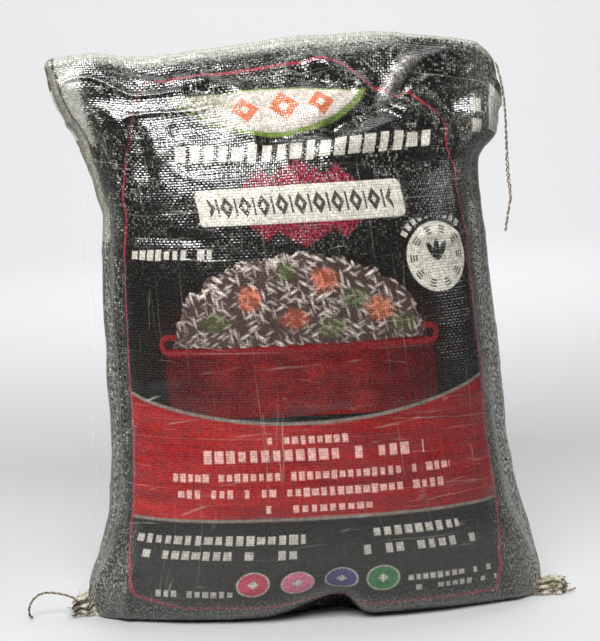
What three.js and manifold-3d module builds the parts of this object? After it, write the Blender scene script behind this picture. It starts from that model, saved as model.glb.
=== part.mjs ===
// A filled 25 kg sack of woven polypropylene, standing upright on its bottom seam.
// The empty bag is a flat tube of one width. Filled, each level of it is a cushion-shaped
// section: broad and thick in the middle, a flat lens at the sewn top and bottom edges.
// Millimetres, +Z up. The printed front faces -Y, and +X is to the right of it.
// The origin is on the floor, at the middle of the sack's box.

import * as THREE from 'three';
import { mergeVertices } from 'three/addons/utils/BufferGeometryUtils.js';
import Module from 'manifold-3d';

const wasm = await Module();
wasm.setup();

// The empty bag, laid flat
const FLAT_WIDTH = 500;

// The filled body. Each curve is a list of [height, value] knots.
const SEAM_HEIGHT = 577;
const LEFT_EDGE = [
  [0, -238], [30, -236], [70, -220], [120, -201], [200, -192],
  [385, -192], [415, -194], [440, -203], [500, -219], [550, -243], [577, -247],
];
const RIGHT_EDGE = [
  [0, 234], [30, 227], [70, 215], [120, 198], [200, 187], [300, 181], [400, 176],
  [440, 174.5], [458, 175.5], [472, 181], [487, 188.5], [505, 193.5], [540, 196.5], [577, 201],
];
const FRONT_DEPTH = [
  [0, 78], [30, 86], [60, 94], [100, 101], [150, 104], [250, 104], [350, 99],
  [440, 82], [510, 52], [550, 27], [577, 4],
];
const BACK_DEPTH = [
  [0, 92], [50, 98], [150, 104], [250, 104], [350, 97],
  [440, 76], [510, 47], [550, 26], [577, 4],
];

// Section roundness: 1 is a lens with sharp sides, 2 is an ellipse
const ROUNDNESS = [[0, 1.7], [50, 1.75], [120, 1.9], [250, 2.1], [400, 1.8], [500, 1.3], [577, 1.1]];
const SECTION_POWER = 2.2;

// Half the thickness of the folded side edges
const LEFT_EDGE_HALF = [[0, 4], [50, 8], [120, 20], [250, 25], [400, 16], [460, 8], [550, 7], [577, 2]];
const RIGHT_EDGE_HALF = [[0, 4], [50, 8], [120, 20], [250, 25], [400, 16], [460, 14], [550, 16], [577, 2]];
const EDGE_BULGE = 0.55;

// How far the front's left edge lies inside the back's, where the empty top leans over
const LEFT_LAP = [[380, 0], [450, 9], [550, 11], [577, 7]];

// How far the top edge rises or drops along the sack, as [x, rise] knots
const TOP_WAVE = [
  [-250, -10], [-200, -6], [-150, -12], [-60, -5], [20, 1], [80, 1], [140, -6],
  [180, -13], [195, -23], [205, -38],
];
const WAVE_START = 380;

// The bottom edge rolls under to a flat base
const ROLL_HEIGHT = 45;
const ROLL_UNDER = 40;
const ROLL_SIDES = 10;

// How far up from the bottom seam the cloth is where it leaves the floor
const BASE_UP = 27.2;

// The pulled-up tuck in the front of the bottom edge
const TUCK = { x: 22, leftReach: 46, rightReach: 16, lift: 20, fade: 75 };

// The sewn top edge folds over to the back and hangs down behind
const SEAM_FOLD_RADIUS = 7;
const SEAM_FOLD_TURN = THREE.MathUtils.degToRad(140);
const SEAM_FLAP = 32;
const SEAM_HALF = 1.8;

// Folds of the front's top corner, in bag coordinates: across from the middle and up
// from the bottom seam, as [from, to, half width, height above the surface]
const FRONT_FOLDS = [
  [[117, 603], [117, 603], 18, -9],
  [[113, 597], [55, 572], 10, -8],
  [[55, 572], [-20, 565], 10, -5],
  [[121, 604], [150, 640], 9, 7],
  [[150, 640], [188, 657], 9, 5],
  [[150, 618], [205, 600], 24, -12],
  [[48, 647], [112, 609], 9, 6],
  [[121, 599], [175, 575], 8, 5],
];

// The frayed ends of the bottom seam stick out at both corners
const LEFT_END = {
  rootX: -224, rootY: 0, tipX: -261, tipY: -4,
  rootHeight: 42, tipHeight: 15, thickness: 5, pleat: 3.5, pleats: 4,
};
const RIGHT_END = {
  rootX: 216, rootY: -2, tipX: 256, tipY: -9,
  rootHeight: 16, tipHeight: 21, thickness: 5, pleat: 3, pleats: 3,
};

// Loose thread ends, as route points in order
const TOP_THREAD = {
  diameter: 2,
  route: [
    [202.5, -4, 550.6], [205.5, -6.4, 539.5], [207.5, -7.9, 528.4], [209, -8.6, 517],
    [209.8, -9, 505.6], [210.2, -8.6, 494.2], [210.4, -7.6, 482.8], [210.6, -6.4, 471.4],
    [210.8, -5.4, 459.9], [211, -4.4, 448.5], [211.4, -4, 437.1], [212.5, -5.1, 425.8],
    [212.7, -6.8, 414.5], [210.2, -9.4, 403.6], [208, -9.7, 392.4], [206.2, -8, 381.2],
  ],
};
const BOTTOM_THREAD = {
  diameter: 2,
  route: [
    [-250.9, -9.8, 19.1], [-255.4, -9.2, 22.2], [-260.5, -8.2, 24.6], [-266.7, -7.4, 26.3],
    [-272.9, -7, 27.7], [-279, -7.2, 28.6], [-283.6, -8, 29], [-288.2, -9, 28.6],
    [-292.4, -9.9, 26.9], [-296, -10, 24], [-299, -10, 20.4], [-301.2, -9.6, 16.2],
    [-302.4, -8.9, 11.8], [-302.6, -7.9, 7.6], [-301.8, -6.4, 3.9], [-299.6, -4, 1.6],
  ],
};
const SIDE_FILAMENT = {
  diameter: 0.6,
  route: [
    [-208.5, -12, 446.9], [-213.4, -12, 430.8], [-216.3, -12, 414.7], [-218.8, -12, 398.5],
    [-219.8, -12, 382.2], [-220.2, -12, 365.8], [-215.5, -12, 351.2], [-213.4, -12, 335],
    [-213, -12, 318.6], [-213.8, -12, 302.3], [-215, -12, 286], [-215.8, -12, 269.7],
    [-216.6, -12, 253.3], [-217.8, -12, 237], [-219.8, -12, 220.7], [-221.8, -12, 204.5],
    [-223.5, -12, 188.2], [-222.6, -12, 172], [-220.8, -12, 156.1], [-221.2, -12, 139.9],
    [-224.6, -12, 124.5], [-228.8, -12, 109.3], [-231.2, -12, 93], [-232.4, -12, 77.2],
  ],
};
const CORNER_THREAD = {
  diameter: 1.6,
  route: [[258.3, -9, 2.4], [260.5, -9, 2.6], [262.8, -9, 3.3], [264.8, -9, 4.2], [266.4, -9, 5.2]],
};

// Mesh density
const PANEL_COLUMNS = 34;
const EDGE_COLUMNS = 1;
const BODY_ROWS = 42;
const FOLD_ROWS = 4;
const THREAD_SIDES = 8;
const THREAD_STEP = 2.6;
const THREAD_MOST_STEPS = 80;

// Smooth curve through [position, value] knots that never overshoots them
function curveValue(knots, position) {
  const last = knots.length - 1;
  const at = Math.min(Math.max(position, knots[0][0]), knots[last][0]);
  let i = 0;
  while (i < last - 1 && at > knots[i + 1][0]) {
    i += 1;
  }
  const slope = (k) => (knots[k + 1][1] - knots[k][1]) / (knots[k + 1][0] - knots[k][0]);
  const tangent = (k) => {
    if (k === 0) {
      return slope(0);
    }
    if (k === last) {
      return slope(last - 1);
    }
    const before = slope(k - 1);
    const after = slope(k);
    if (before * after <= 0) {
      return 0;
    }
    return 2 * before * after / (before + after);
  };
  const span = knots[i + 1][0] - knots[i][0];
  const s = (at - knots[i][0]) / span;
  const startPart = (1 + 2 * s) * (1 - s) ** 2 * knots[i][1] + s * (1 - s) ** 2 * span * tangent(i);
  const endPart = s * s * (3 - 2 * s) * knots[i + 1][1] + s * s * (s - 1) * span * tangent(i + 1);
  return startPart + endPart;
}

function smoothStep(from, to, value) {
  const s = Math.min(Math.max((value - from) / (to - from), 0), 1);
  return s * s * (3 - 2 * s);
}

// How far the bottom edge is pulled up at x
function tuckShape(x) {
  const reach = x < TUCK.x ? TUCK.leftReach : TUCK.rightReach;
  return Math.exp(-(((x - TUCK.x) / reach) ** 2));
}

// One face of a section, from its left edge to its right, in evenly spaced steps
function panelPoints(left, right, depth, leftHalf, rightHalf, power) {
  const samples = 240;
  const middle = (left + right) / 2;
  const halfWidth = (right - left) / 2;
  const line = [];
  for (let i = 0; i <= samples; i += 1) {
    const across = Math.sin((i / samples - 0.5) * Math.PI);
    const edge = leftHalf + (rightHalf - leftHalf) * (across + 1) / 2;
    const rise = Math.max(0, 1 - Math.abs(across) ** SECTION_POWER) ** (1 / power);
    line.push(new THREE.Vector2(middle + halfWidth * across, edge + (depth - edge) * rise));
  }
  const lengths = [0];
  for (let i = 1; i <= samples; i += 1) {
    lengths.push(lengths[i - 1] + line[i].distanceTo(line[i - 1]));
  }
  const points = [];
  let k = 1;
  for (let column = 0; column < PANEL_COLUMNS; column += 1) {
    const target = lengths[samples] * column / (PANEL_COLUMNS - 1);
    while (k < samples && lengths[k] < target) {
      k += 1;
    }
    const part = (target - lengths[k - 1]) / (lengths[k] - lengths[k - 1]);
    points.push(line[k - 1].clone().lerp(line[k], part));
  }
  return points;
}

// Points up the narrow side edge between the two faces
function edgePoints(frontX, backX, half, outward, toBack) {
  const points = [];
  for (let i = 1; i <= EDGE_COLUMNS; i += 1) {
    const along = -1 + 2 * i / (EDGE_COLUMNS + 1);
    const k = toBack ? along : -along;
    const straight = frontX + (backX - frontX) * (k + 1) / 2;
    points.push(new THREE.Vector2(straight + outward * EDGE_BULGE * half * (1 - k * k), k * half));
  }
  return points;
}

// The closed ring of section points at one height: front, right edge, back, left edge
function sectionRing(height) {
  const rolled = height < ROLL_HEIGHT ? 1 - Math.sqrt(1 - (1 - height / ROLL_HEIGHT) ** 2) : 0;
  const left = curveValue(LEFT_EDGE, height) + ROLL_SIDES * rolled;
  const right = curveValue(RIGHT_EDGE, height) - ROLL_SIDES * rolled;
  const power = curveValue(ROUNDNESS, height);
  const leftHalf = curveValue(LEFT_EDGE_HALF, height);
  const rightHalf = curveValue(RIGHT_EDGE_HALF, height);
  const frontDepth = curveValue(FRONT_DEPTH, height) - ROLL_UNDER * rolled;
  const backDepth = curveValue(BACK_DEPTH, height) - ROLL_UNDER * rolled;
  const frontLeft = left + curveValue(LEFT_LAP, height);
  const front = panelPoints(frontLeft, right, frontDepth, leftHalf, rightHalf, power)
    .map((p) => new THREE.Vector2(p.x, -p.y));
  const back = panelPoints(left, right, backDepth, leftHalf, rightHalf, power).reverse();
  return [
    ...front,
    ...edgePoints(right, right, rightHalf, 1, true),
    ...back,
    ...edgePoints(frontLeft, left, leftHalf, -1, false),
  ];
}

// Heights of the body's rings, closer together at the base and the top
function bodyHeights() {
  const heights = [];
  for (let row = 0; row < BODY_ROWS; row += 1) {
    const t = row / (BODY_ROWS - 1);
    heights.push(SEAM_HEIGHT * (0.5 * t + 0.25 * (1 - Math.cos(Math.PI * t))));
  }
  return heights;
}

function bodyRing(height) {
  const wave = smoothStep(WAVE_START, SEAM_HEIGHT, height);
  return sectionRing(height).map((point, index) => {
    const z = height + wave * curveValue(TOP_WAVE, point.x);
    if (index >= PANEL_COLUMNS) {
      return new THREE.Vector3(point.x, point.y, z);
    }
    const pull = tuckShape(point.x) * Math.max(0, 1 - height / TUCK.fade) ** 2;
    const lift = height > 0 ? TUCK.lift * pull : 0;
    return new THREE.Vector3(point.x, point.y + 1.2 * TUCK.lift * pull, z + lift);
  });
}

// Rings of the sewn edge, turning over to the back and then running down behind
function seamRings(topRing) {
  const rings = [];
  const steps = FOLD_ROWS + 2;
  for (let step = 1; step <= steps; step += 1) {
    const turn = SEAM_FOLD_TURN * Math.min(step / FOLD_ROWS, 1);
    const down = SEAM_FLAP * Math.max(0, step - FOLD_ROWS) / (steps - FOLD_ROWS);
    rings.push(topRing.map((point) => {
      const thickness = Math.max(-SEAM_HALF, Math.min(SEAM_HALF, point.y));
      const radius = SEAM_FOLD_RADIUS - thickness;
      return new THREE.Vector3(
        point.x,
        SEAM_FOLD_RADIUS - radius * Math.cos(turn) + down * Math.sin(turn),
        point.z + radius * Math.sin(turn) + down * Math.cos(turn),
      );
    }));
  }
  return rings;
}

// Height of all folds at a place on the front
function foldHeight(across, up) {
  const place = new THREE.Vector2(across, up);
  let total = 0;
  for (const [from, to, width, height] of FRONT_FOLDS) {
    const start = new THREE.Vector2(...from);
    const along = new THREE.Vector2(...to).sub(start);
    const lengthSq = Math.max(along.lengthSq(), 1);
    const s = Math.min(Math.max(place.clone().sub(start).dot(along) / lengthSq, 0), 1);
    const distance = place.distanceTo(start.addScaledVector(along, s));
    total += height * Math.exp(-((distance / width) ** 2));
  }
  return total;
}

// Distance up the middle of the front from the bottom seam, for each body ring
function upDistances(rings) {
  const middle = Math.floor(PANEL_COLUMNS / 2);
  const distances = [BASE_UP];
  for (let row = 1; row < rings.length; row += 1) {
    distances.push(distances[row - 1] + rings[row][middle].distanceTo(rings[row - 1][middle]));
  }
  return distances;
}

// Push the front of the body out or in along its own normals
function addFolds(rings) {
  const distances = upDistances(rings);
  const moved = rings.map((ring) => ring.map((point) => point.clone()));
  for (let row = 1; row < rings.length - 1; row += 1) {
    for (let column = 1; column < PANEL_COLUMNS - 1; column += 1) {
      const across = FLAT_WIDTH * (column / (PANEL_COLUMNS - 1) - 0.5);
      const sideways = rings[row][column + 1].clone().sub(rings[row][column - 1]);
      const upward = rings[row + 1][column].clone().sub(rings[row - 1][column]);
      const normal = sideways.cross(upward).normalize();
      moved[row][column].addScaledVector(normal, foldHeight(across, distances[row]));
    }
  }
  return moved;
}

function meshGeometry(points, triangles) {
  const geometry = new THREE.BufferGeometry();
  const flat = points.flatMap((point) => [point.x, point.y, point.z]);
  geometry.setAttribute('position', new THREE.Float32BufferAttribute(flat, 3));
  geometry.setIndex(triangles);
  return geometry;
}

// Skin over rings that run bottom to top, closed at both ends by strips from face to face
function skinRings(rings, faceColumns, edgeColumns) {
  const count = rings[0].length;
  const triangles = [];
  for (let row = 0; row < rings.length - 1; row += 1) {
    for (let j = 0; j < count; j += 1) {
      const a = row * count + j;
      const b = row * count + (j + 1) % count;
      triangles.push(a, b, b + count, a, b + count, a + count);
    }
  }
  const across = (row, column) => row * count + column;
  const opposite = (row, column) => row * count + 2 * faceColumns + edgeColumns - 1 - column;
  for (const [row, bottom] of [[0, true], [rings.length - 1, false]]) {
    const quads = [];
    for (let column = 0; column < faceColumns - 1; column += 1) {
      quads.push([
        across(row, column), across(row, column + 1),
        opposite(row, column + 1), opposite(row, column),
      ]);
    }
    for (const [a, b, c, d] of quads) {
      triangles.push(...(bottom ? [a, c, b, a, d, c] : [a, b, c, a, c, d]));
    }
    closeEdges(triangles, row * count, faceColumns, edgeColumns, bottom);
  }
  return meshGeometry(rings.flat(), triangles);
}

// Fans that close the two narrow side edges of an end strip
function closeEdges(triangles, base, faceColumns, edgeColumns, bottom) {
  const rightStart = base + faceColumns - 1;
  const rightEnd = base + faceColumns + edgeColumns;
  const leftStart = base + 2 * faceColumns + edgeColumns - 1;
  const ringEnd = base + 2 * (faceColumns + edgeColumns);
  const fan = (hub, chain) => {
    for (let i = 0; i < chain.length - 1; i += 1) {
      const triangle = [hub, chain[i], chain[i + 1]];
      triangles.push(...(bottom ? triangle.reverse() : triangle));
    }
  };
  const rightChain = [];
  for (let index = rightStart + 1; index <= rightEnd; index += 1) {
    rightChain.push(index);
  }
  const leftChain = [];
  for (let index = leftStart + 1; index < ringEnd; index += 1) {
    leftChain.push(index);
  }
  leftChain.push(base);
  fan(rightStart, rightChain);
  fan(leftStart, leftChain);
}

// A pleated, flattened end of the bottom seam, standing on the floor
function seamEnd(end) {
  const columns = end.pleats * 2 + 1;
  const rows = 3;
  const direction = Math.sign(end.tipX - end.rootX);
  const rings = [];
  for (let row = 0; row < rows; row += 1) {
    const up = row / (rows - 1);
    const ring = [];
    for (const side of [-1, 1]) {
      for (let step = 0; step < columns; step += 1) {
        const column = (side < 0) === (direction > 0) ? step : columns - 1 - step;
        const out = column / (columns - 1);
        const height = end.rootHeight + (end.tipHeight - end.rootHeight) * out;
        const pleat = end.pleat * (column % 2 === 0 ? -1 : 1) * out;
        const y = end.rootY + (end.tipY - end.rootY) * out + pleat + side * end.thickness / 2;
        ring.push(new THREE.Vector3(end.rootX + (end.tipX - end.rootX) * out, y, up * height));
      }
    }
    rings.push(ring);
  }
  return skinRings(rings, columns, 0);
}

function toSolid(geometry) {
  const bare = geometry.clone();
  bare.deleteAttribute('normal');
  bare.deleteAttribute('uv');
  const merged = mergeVertices(bare, 1e-4);
  return new wasm.Manifold(new wasm.Mesh({
    numProp: 3,
    vertProperties: new Float32Array(merged.attributes.position.array),
    triVerts: new Uint32Array(merged.index.array),
  }));
}

function toGeometry(solid) {
  const mesh = solid.getMesh();
  const geometry = new THREE.BufferGeometry();
  geometry.setAttribute('position', new THREE.BufferAttribute(mesh.vertProperties, 3));
  geometry.setIndex(new THREE.BufferAttribute(mesh.triVerts, 1));
  return geometry;
}

function sackGeometry() {
  const body = addFolds(bodyHeights().map(bodyRing));
  const skin = skinRings([...body, ...seamRings(body[body.length - 1])], PANEL_COLUMNS, EDGE_COLUMNS);
  const whole = toSolid(skin).add(toSolid(seamEnd(LEFT_END))).add(toSolid(seamEnd(RIGHT_END)));
  return toGeometry(whole);
}

// A plain tube along a thread's route
function threadGeometry(thread) {
  const curve = new THREE.CatmullRomCurve3(thread.route.map((point) => new THREE.Vector3(...point)));
  const section = new THREE.Shape();
  section.absarc(0, 0, thread.diameter / 2, 0, 2 * Math.PI);
  const steps = Math.ceil(curve.getLength() / (THREAD_STEP * thread.diameter));
  return new THREE.ExtrudeGeometry(section, {
    extrudePath: curve,
    steps: Math.min(steps, THREAD_MOST_STEPS),
    curveSegments: THREAD_SIDES / 4,
    bevelEnabled: false,
  });
}

const wovenFilm = new THREE.MeshStandardMaterial({ color: 0x2f2f2b, roughness: 0.32, metalness: 0 });
const paleThread = new THREE.MeshStandardMaterial({ color: 0x8d8168, roughness: 0.8, metalness: 0 });
const tapeFilament = new THREE.MeshStandardMaterial({ color: 0xcfcdc4, roughness: 0.4, metalness: 0 });

function namedMesh(name, geometry, material) {
  const mesh = new THREE.Mesh(geometry, material);
  mesh.name = name;
  return mesh;
}

const sack = new THREE.Group();
sack.add(namedMesh('sack', sackGeometry(), wovenFilm));
sack.add(namedMesh('thread_top_right', threadGeometry(TOP_THREAD), paleThread));
sack.add(namedMesh('thread_bottom_left', threadGeometry(BOTTOM_THREAD), paleThread));
sack.add(namedMesh('thread_bottom_right', threadGeometry(CORNER_THREAD), paleThread));
sack.add(namedMesh('filament_left', threadGeometry(SIDE_FILAMENT), tapeFilament));

export default sack;
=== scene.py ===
# A filled 25 kg rice sack of woven polypropylene, standing on its bottom seam.
# Metres, +Z up. The printed front faces -Y. Places on the bag are flat-bag coordinates:
# across from the middle of a face, and up from the bottom seam.

import math

import bpy
import numpy as np
from mathutils import Matrix, Vector


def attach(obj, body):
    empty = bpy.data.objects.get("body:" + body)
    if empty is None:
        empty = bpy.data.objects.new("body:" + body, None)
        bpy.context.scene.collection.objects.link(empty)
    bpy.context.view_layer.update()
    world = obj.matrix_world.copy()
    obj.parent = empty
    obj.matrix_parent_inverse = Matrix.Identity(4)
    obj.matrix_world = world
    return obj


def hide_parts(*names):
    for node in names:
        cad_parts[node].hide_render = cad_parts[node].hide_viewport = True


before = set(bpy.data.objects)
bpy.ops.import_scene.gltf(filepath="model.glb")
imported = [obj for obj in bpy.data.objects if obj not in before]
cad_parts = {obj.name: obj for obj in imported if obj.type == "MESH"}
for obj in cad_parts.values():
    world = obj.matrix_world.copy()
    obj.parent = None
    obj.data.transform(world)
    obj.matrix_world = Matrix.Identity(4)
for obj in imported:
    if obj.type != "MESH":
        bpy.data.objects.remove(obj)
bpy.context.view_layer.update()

# The photograph's camera: it looks slightly down and is rolled a little clockwise
IMAGE_WIDTH = 600
IMAGE_HEIGHT = 641
CAMERA_DISTANCE = 1.9
CAMERA_ELEVATION = math.radians(9)
CAMERA_ROLL = math.radians(3)
CAMERA_AIM = (-0.0054, 0.0, 0.2997)
FOCAL_PIXELS = 1862.7
SENSOR = 36.0

# The form of the filled bag, the same as the CAD's. Knots are (height, value).
FLAT_WIDTH = 0.5
SEAM_HEIGHT = 0.577
LEFT_EDGE = (
    (0, -0.238), (0.03, -0.236), (0.07, -0.22), (0.12, -0.201), (0.2, -0.192),
    (0.385, -0.192), (0.415, -0.194), (0.44, -0.203), (0.5, -0.219), (0.55, -0.243),
    (0.577, -0.247),
)
RIGHT_EDGE = (
    (0, 0.234), (0.03, 0.227), (0.07, 0.215), (0.12, 0.198), (0.2, 0.187), (0.3, 0.181),
    (0.4, 0.176), (0.44, 0.1745), (0.458, 0.1755), (0.472, 0.181), (0.487, 0.1885),
    (0.505, 0.1935), (0.54, 0.1965), (0.577, 0.201),
)
FRONT_DEPTH = (
    (0, 0.078), (0.03, 0.086), (0.06, 0.094), (0.1, 0.101), (0.15, 0.104), (0.25, 0.104),
    (0.35, 0.099), (0.44, 0.082), (0.51, 0.052), (0.55, 0.027), (0.577, 0.004),
)
BACK_DEPTH = (
    (0, 0.092), (0.05, 0.098), (0.15, 0.104), (0.25, 0.104), (0.35, 0.097),
    (0.44, 0.076), (0.51, 0.047), (0.55, 0.026), (0.577, 0.004),
)
ROUNDNESS = (
    (0, 1.7), (0.05, 1.75), (0.12, 1.9), (0.25, 2.1), (0.4, 1.8), (0.5, 1.3), (0.577, 1.1),
)
SECTION_POWER = 2.2
EDGE_HALF = ((0, 0.004), (0.05, 0.008), (0.12, 0.02), (0.25, 0.025), (0.4, 0.016))
LEFT_EDGE_HALF = (*EDGE_HALF, (0.46, 0.008), (0.55, 0.007), (0.577, 0.002))
RIGHT_EDGE_HALF = (*EDGE_HALF, (0.46, 0.014), (0.55, 0.016), (0.577, 0.002))
EDGE_BULGE = 0.55
LEFT_LAP = ((0.38, 0), (0.45, 0.009), (0.55, 0.011), (0.577, 0.007))
TOP_WAVE = (
    (-0.25, -0.01), (-0.2, -0.006), (-0.15, -0.012), (-0.06, -0.005),
    (0.02, 0.001), (0.08, 0.001), (0.14, -0.006), (0.18, -0.013), (0.195, -0.023), (0.205, -0.038),
)
WAVE_START = 0.38
ROLL_HEIGHT = 0.045
ROLL_UNDER = 0.04
ROLL_SIDES = 0.01
BASE_UP = 0.0272
TUCK_X = 0.022
TUCK_REACH = (0.046, 0.016)
TUCK_LIFT = 0.02
TUCK_FADE = 0.075
SEAM_FOLD_RADIUS = 0.007
SEAM_FOLD_TURN = math.radians(140)
SEAM_FLAP = 0.032
SEAM_HALF = 0.0018

# Folds of the front, as ((across, up), (across, up), half width, height)
FRONT_FOLDS = (
    ((0.117, 0.603), (0.117, 0.603), 0.018, -0.009),
    ((0.113, 0.597), (0.055, 0.572), 0.01, -0.008),
    ((0.055, 0.572), (-0.02, 0.565), 0.01, -0.005),
    ((0.121, 0.604), (0.15, 0.64), 0.008, 0.008),
    ((0.15, 0.64), (0.188, 0.657), 0.007, 0.005),
    ((0.15, 0.618), (0.205, 0.6), 0.024, -0.012),
    ((0.205, 0.6), (0.225, 0.64), 0.02, -0.006),
    ((0.048, 0.647), (0.112, 0.609), 0.009, 0.006),
    ((0.03, 0.634), (0.085, 0.616), 0.009, -0.004),
    ((0.121, 0.599), (0.175, 0.575), 0.007, 0.005),
    ((0.125, 0.588), (0.16, 0.56), 0.006, -0.003),
    ((0.151, 0.626), (0.2, 0.56), 0.008, 0.004),
    ((0.06, 0.553), (0.12, 0.56), 0.014, 0.004),
    ((-0.213, 0.603), (-0.205, 0.53), 0.006, -0.002),
    ((-0.195, 0.6), (-0.185, 0.53), 0.006, 0.0014),
    ((-0.178, 0.596), (-0.168, 0.54), 0.006, -0.0012),
    ((-0.158, 0.59), (-0.148, 0.53), 0.007, 0.0014),
    ((-0.131, 0.588), (-0.12, 0.535), 0.006, -0.001),
    ((-0.166, 0.668), (-0.125, 0.65), 0.007, -0.0025),
    ((-0.15, 0.652), (-0.08, 0.64), 0.006, 0.003),
    ((-0.097, 0.634), (-0.04, 0.612), 0.006, -0.003),
    ((-0.06, 0.66), (0.01, 0.667), 0.007, 0.003),
    ((0.07, 0.665), (0.12, 0.668), 0.007, -0.003),
    ((-0.015, 0.29), (0.045, 0.296), 0.004, -0.002),
    ((0.14, 0.459), (0.224, 0.455), 0.006, 0.002),
    ((-0.2, 0.472), (-0.11, 0.467), 0.005, -0.0015),
    ((0.114, 0.525), (0.18, 0.531), 0.007, -0.003),
    ((0.224, 0.5), (0.228, 0.3), 0.009, -0.003),
    ((0.24, 0.48), (0.238, 0.33), 0.007, 0.003),
    ((-0.215, 0.44), (-0.222, 0.26), 0.008, -0.003),
    ((-0.232, 0.4), (-0.23, 0.23), 0.007, 0.002),
    ((0.205, 0.19), (0.235, 0.08), 0.007, -0.003),
    ((0.218, 0.17), (0.248, 0.075), 0.006, 0.003),
    ((0.19, 0.12), (0.215, 0.06), 0.008, 0.003),
    ((-0.205, 0.17), (-0.228, 0.08), 0.007, -0.003),
    ((-0.222, 0.15), (-0.24, 0.08), 0.006, 0.003),
    ((-0.185, 0.12), (-0.205, 0.06), 0.008, 0.003),
)
BACK_FOLDS = (
    ((-0.14, 0.6), (0.02, 0.56), 0.012, -0.007),
    ((-0.02, 0.59), (0.15, 0.62), 0.01, 0.005),
    ((0.12, 0.56), (0.21, 0.52), 0.012, -0.006),
    ((-0.2, 0.56), (-0.16, 0.48), 0.01, 0.004),
    ((-0.1, 0.33), (0.08, 0.318), 0.006, -0.002),
    ((0.02, 0.21), (0.17, 0.222), 0.006, -0.002),
    ((-0.2, 0.15), (-0.22, 0.08), 0.008, 0.004),
    ((0.18, 0.15), (0.21, 0.08), 0.009, 0.004),
    ((-0.03, 0.13), (-0.01, 0.07), 0.012, -0.005),
)

# Mesh density of the bag
COLUMNS = 181
EDGE_COLUMNS = 9
BODY_ROWS = 250
FOLD_ROWS = 14
FLAP_ROWS = 10

# The woven tape: its pitch and, as slopes, its crowns, each crossing's tilt and each tape's lean
TAPE_PITCH = 0.0028
WEFT_CROWN, WARP_CROWN, TAPE_CROWN = 0.15, 0.2, 0.17
TAPE_TILT = 0.09
WARP_LEAN, WEFT_LEAN = 0.11, 0.08
FRAYED_RIBS = 2400

# The print: where its three materials meet, and places on the panel
PRINT_SPLITS = (0.29, 0.475)
PANEL_MIDDLE, PANEL_HALF = 0.0015, 0.2115
LABEL_PLACE, LABEL_PITCH = (0.012, 0.498), 0.0215
SEAL_PLACE = (0.166, 0.437)
BASKET_MIDDLE = -0.003
BLACK_INK = "100f0d"
RED_BORDER = "852434"
BAND_RED = "720d14"
OUTLINE_GREY = "776c64"
CREAM = "bfbbae"
PALE_INK = "b9b5aa"
GREEN_RIM = "697c39"
ORANGE = "b0603f"
BARE_TAPE = "94948b"
# Bare tape darkened as painted shade, for the left side strip
SHADED_SIDE_STRIP = "68655a"

# The studio. Each light has a place, a target, a size, watts and a spread in degrees.
STAGE_RADIUS, STAGE_BEND, STAGE_HEIGHT = 3.2, 1.4, 4.5
WORLD_STRENGTH = 0.08
LIGHTS = {
    "key": ((-0.93, -1.15, 1.88), (0, -0.05, 0.46), (1.85, 0.45), 19.5, 60),
    "overhead": ((0.3, 1.0, 3.3), (0.3, 1.0, 0), (2.6, 2.2), 26, 110),
    "floor_fill": ((-0.25, -1.5, 1.5), (-0.25, -0.1, 0), (1.6, 0.7), 12.5, 72),
    "backdrop_wash": ((0, 1.4, 2.9), (0, 4.7, 2.1), (2.6, 1.0), 190, 180),
    "side": ((1.7, -0.7, 1.0), (0.3, 0.05, 0.25), (0.5, 1.1), 1.6, 70),
}

# Loose threads: the same routes as the CAD's
TOP_THREAD = {
    "diameter": 0.002,
    "route": (
        (0.2025, -0.004, 0.5506), (0.2055, -0.0064, 0.5395), (0.2075, -0.0079, 0.5284),
        (0.209, -0.0086, 0.517), (0.2098, -0.009, 0.5056), (0.2102, -0.0086, 0.4942),
        (0.2104, -0.0076, 0.4828), (0.2106, -0.0064, 0.4714), (0.2108, -0.0054, 0.4599),
        (0.211, -0.0044, 0.4485), (0.2114, -0.004, 0.4371), (0.2125, -0.0051, 0.4258),
        (0.2127, -0.0068, 0.4145), (0.2102, -0.0094, 0.4036), (0.208, -0.0097, 0.3924),
        (0.2062, -0.008, 0.3812),
    ),
}
BOTTOM_THREAD = {
    "diameter": 0.002,
    "route": (
        (-0.2509, -0.0098, 0.0191), (-0.2554, -0.0092, 0.0222), (-0.2605, -0.0082, 0.0246),
        (-0.2667, -0.0074, 0.0263), (-0.2729, -0.007, 0.0277), (-0.279, -0.0072, 0.0286),
        (-0.2836, -0.008, 0.029), (-0.2882, -0.009, 0.0286), (-0.2924, -0.0099, 0.0269),
        (-0.296, -0.01, 0.024), (-0.299, -0.01, 0.0204), (-0.3012, -0.0096, 0.0162),
        (-0.3024, -0.0089, 0.0118), (-0.3026, -0.0079, 0.0076), (-0.3018, -0.0064, 0.0039),
        (-0.2996, -0.004, 0.0016),
    ),
}
SIDE_FILAMENT = {
    "diameter": 0.0006,
    "route": [(x, -0.012, z) for x, z in (
        (-0.2085, 0.4469), (-0.2134, 0.4308), (-0.2163, 0.4147), (-0.2188, 0.3985),
        (-0.2198, 0.3822), (-0.2202, 0.3658), (-0.2155, 0.3512), (-0.2134, 0.335),
        (-0.213, 0.3186), (-0.2138, 0.3023), (-0.215, 0.286), (-0.2158, 0.2697),
        (-0.2166, 0.2533), (-0.2178, 0.237), (-0.2198, 0.2207), (-0.2218, 0.2045),
        (-0.2235, 0.1882), (-0.2226, 0.172), (-0.2208, 0.1561), (-0.2212, 0.1399),
        (-0.2246, 0.1245), (-0.2288, 0.1093), (-0.2312, 0.093), (-0.2324, 0.0772),
    )],
}
CORNER_THREAD = {
    "diameter": 0.0016,
    "route": (
        (0.2583, -0.009, 0.0024), (0.2605, -0.009, 0.0026), (0.2628, -0.009, 0.0033),
        (0.2648, -0.009, 0.0042), (0.2664, -0.009, 0.0052),
    ),
}

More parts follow.
